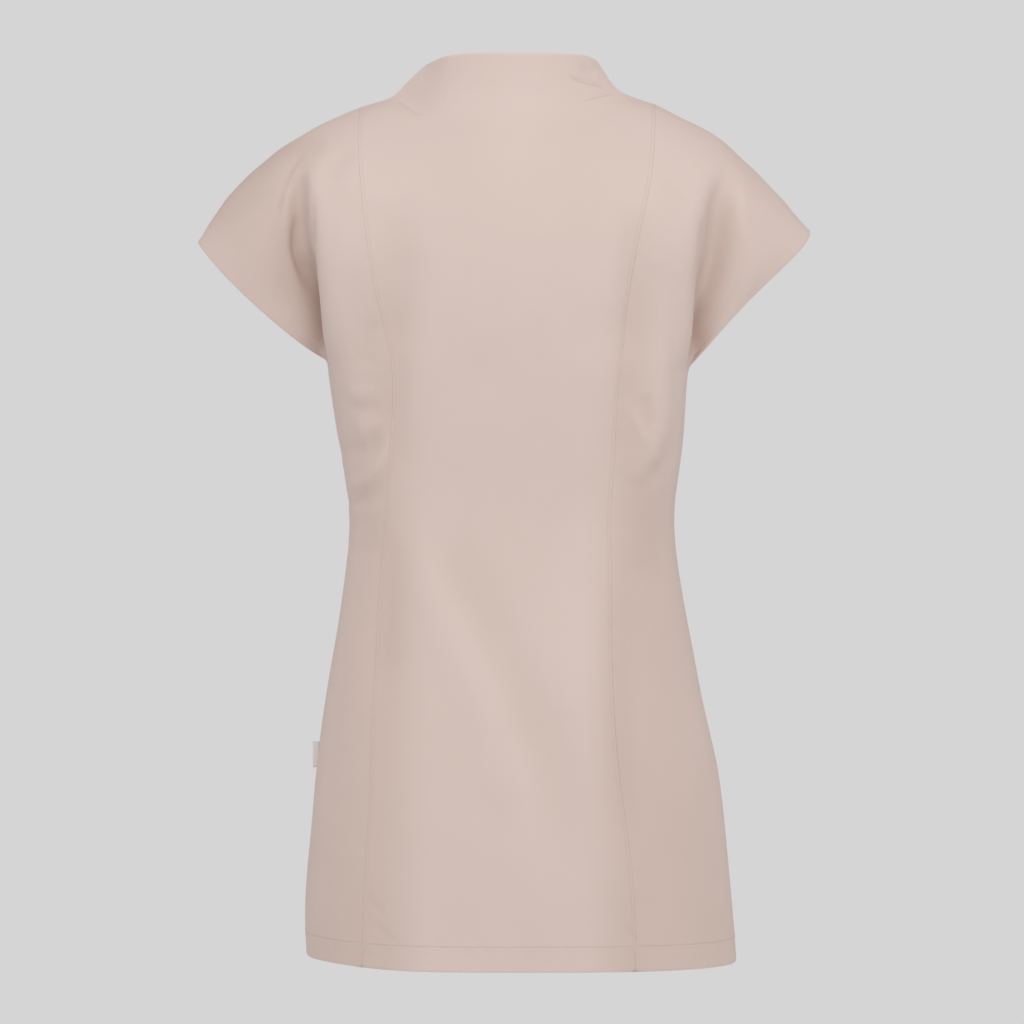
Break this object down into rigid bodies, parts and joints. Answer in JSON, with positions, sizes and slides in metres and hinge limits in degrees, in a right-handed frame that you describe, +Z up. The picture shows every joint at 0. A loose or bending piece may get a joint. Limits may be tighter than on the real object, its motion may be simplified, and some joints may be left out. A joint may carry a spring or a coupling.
{
  "type": "blouse",
  "caption": "Fitted hip-length blouse in worn form, with princess panels, short cap sleeves cut in one with the sides and a standing funnel collar.",
  "frame": {"origin": "centre of the base of the neck, level with the tops of the shoulder seams, where the blouse hangs from the shoulders", "axes": "+Z up as worn, -Y towards the blouse's back, +X towards the wearer's right side"},
  "size_m": [0.5258, 0.2552, 0.7723],
  "materials": {
    "cloth": "matt plain weave, pale dusty pink",
    "label": "matt narrow woven tab, off-white, blank"
  },
  "bodies": {
    "root": {"centre_back": "cloth", "side_back_left": "cloth", "side_back_right": "cloth", "centre_front": "cloth", "side_front_left": "cloth", "side_front_right": "cloth", "label_tab": "label"}
  },
  "joints": []
}
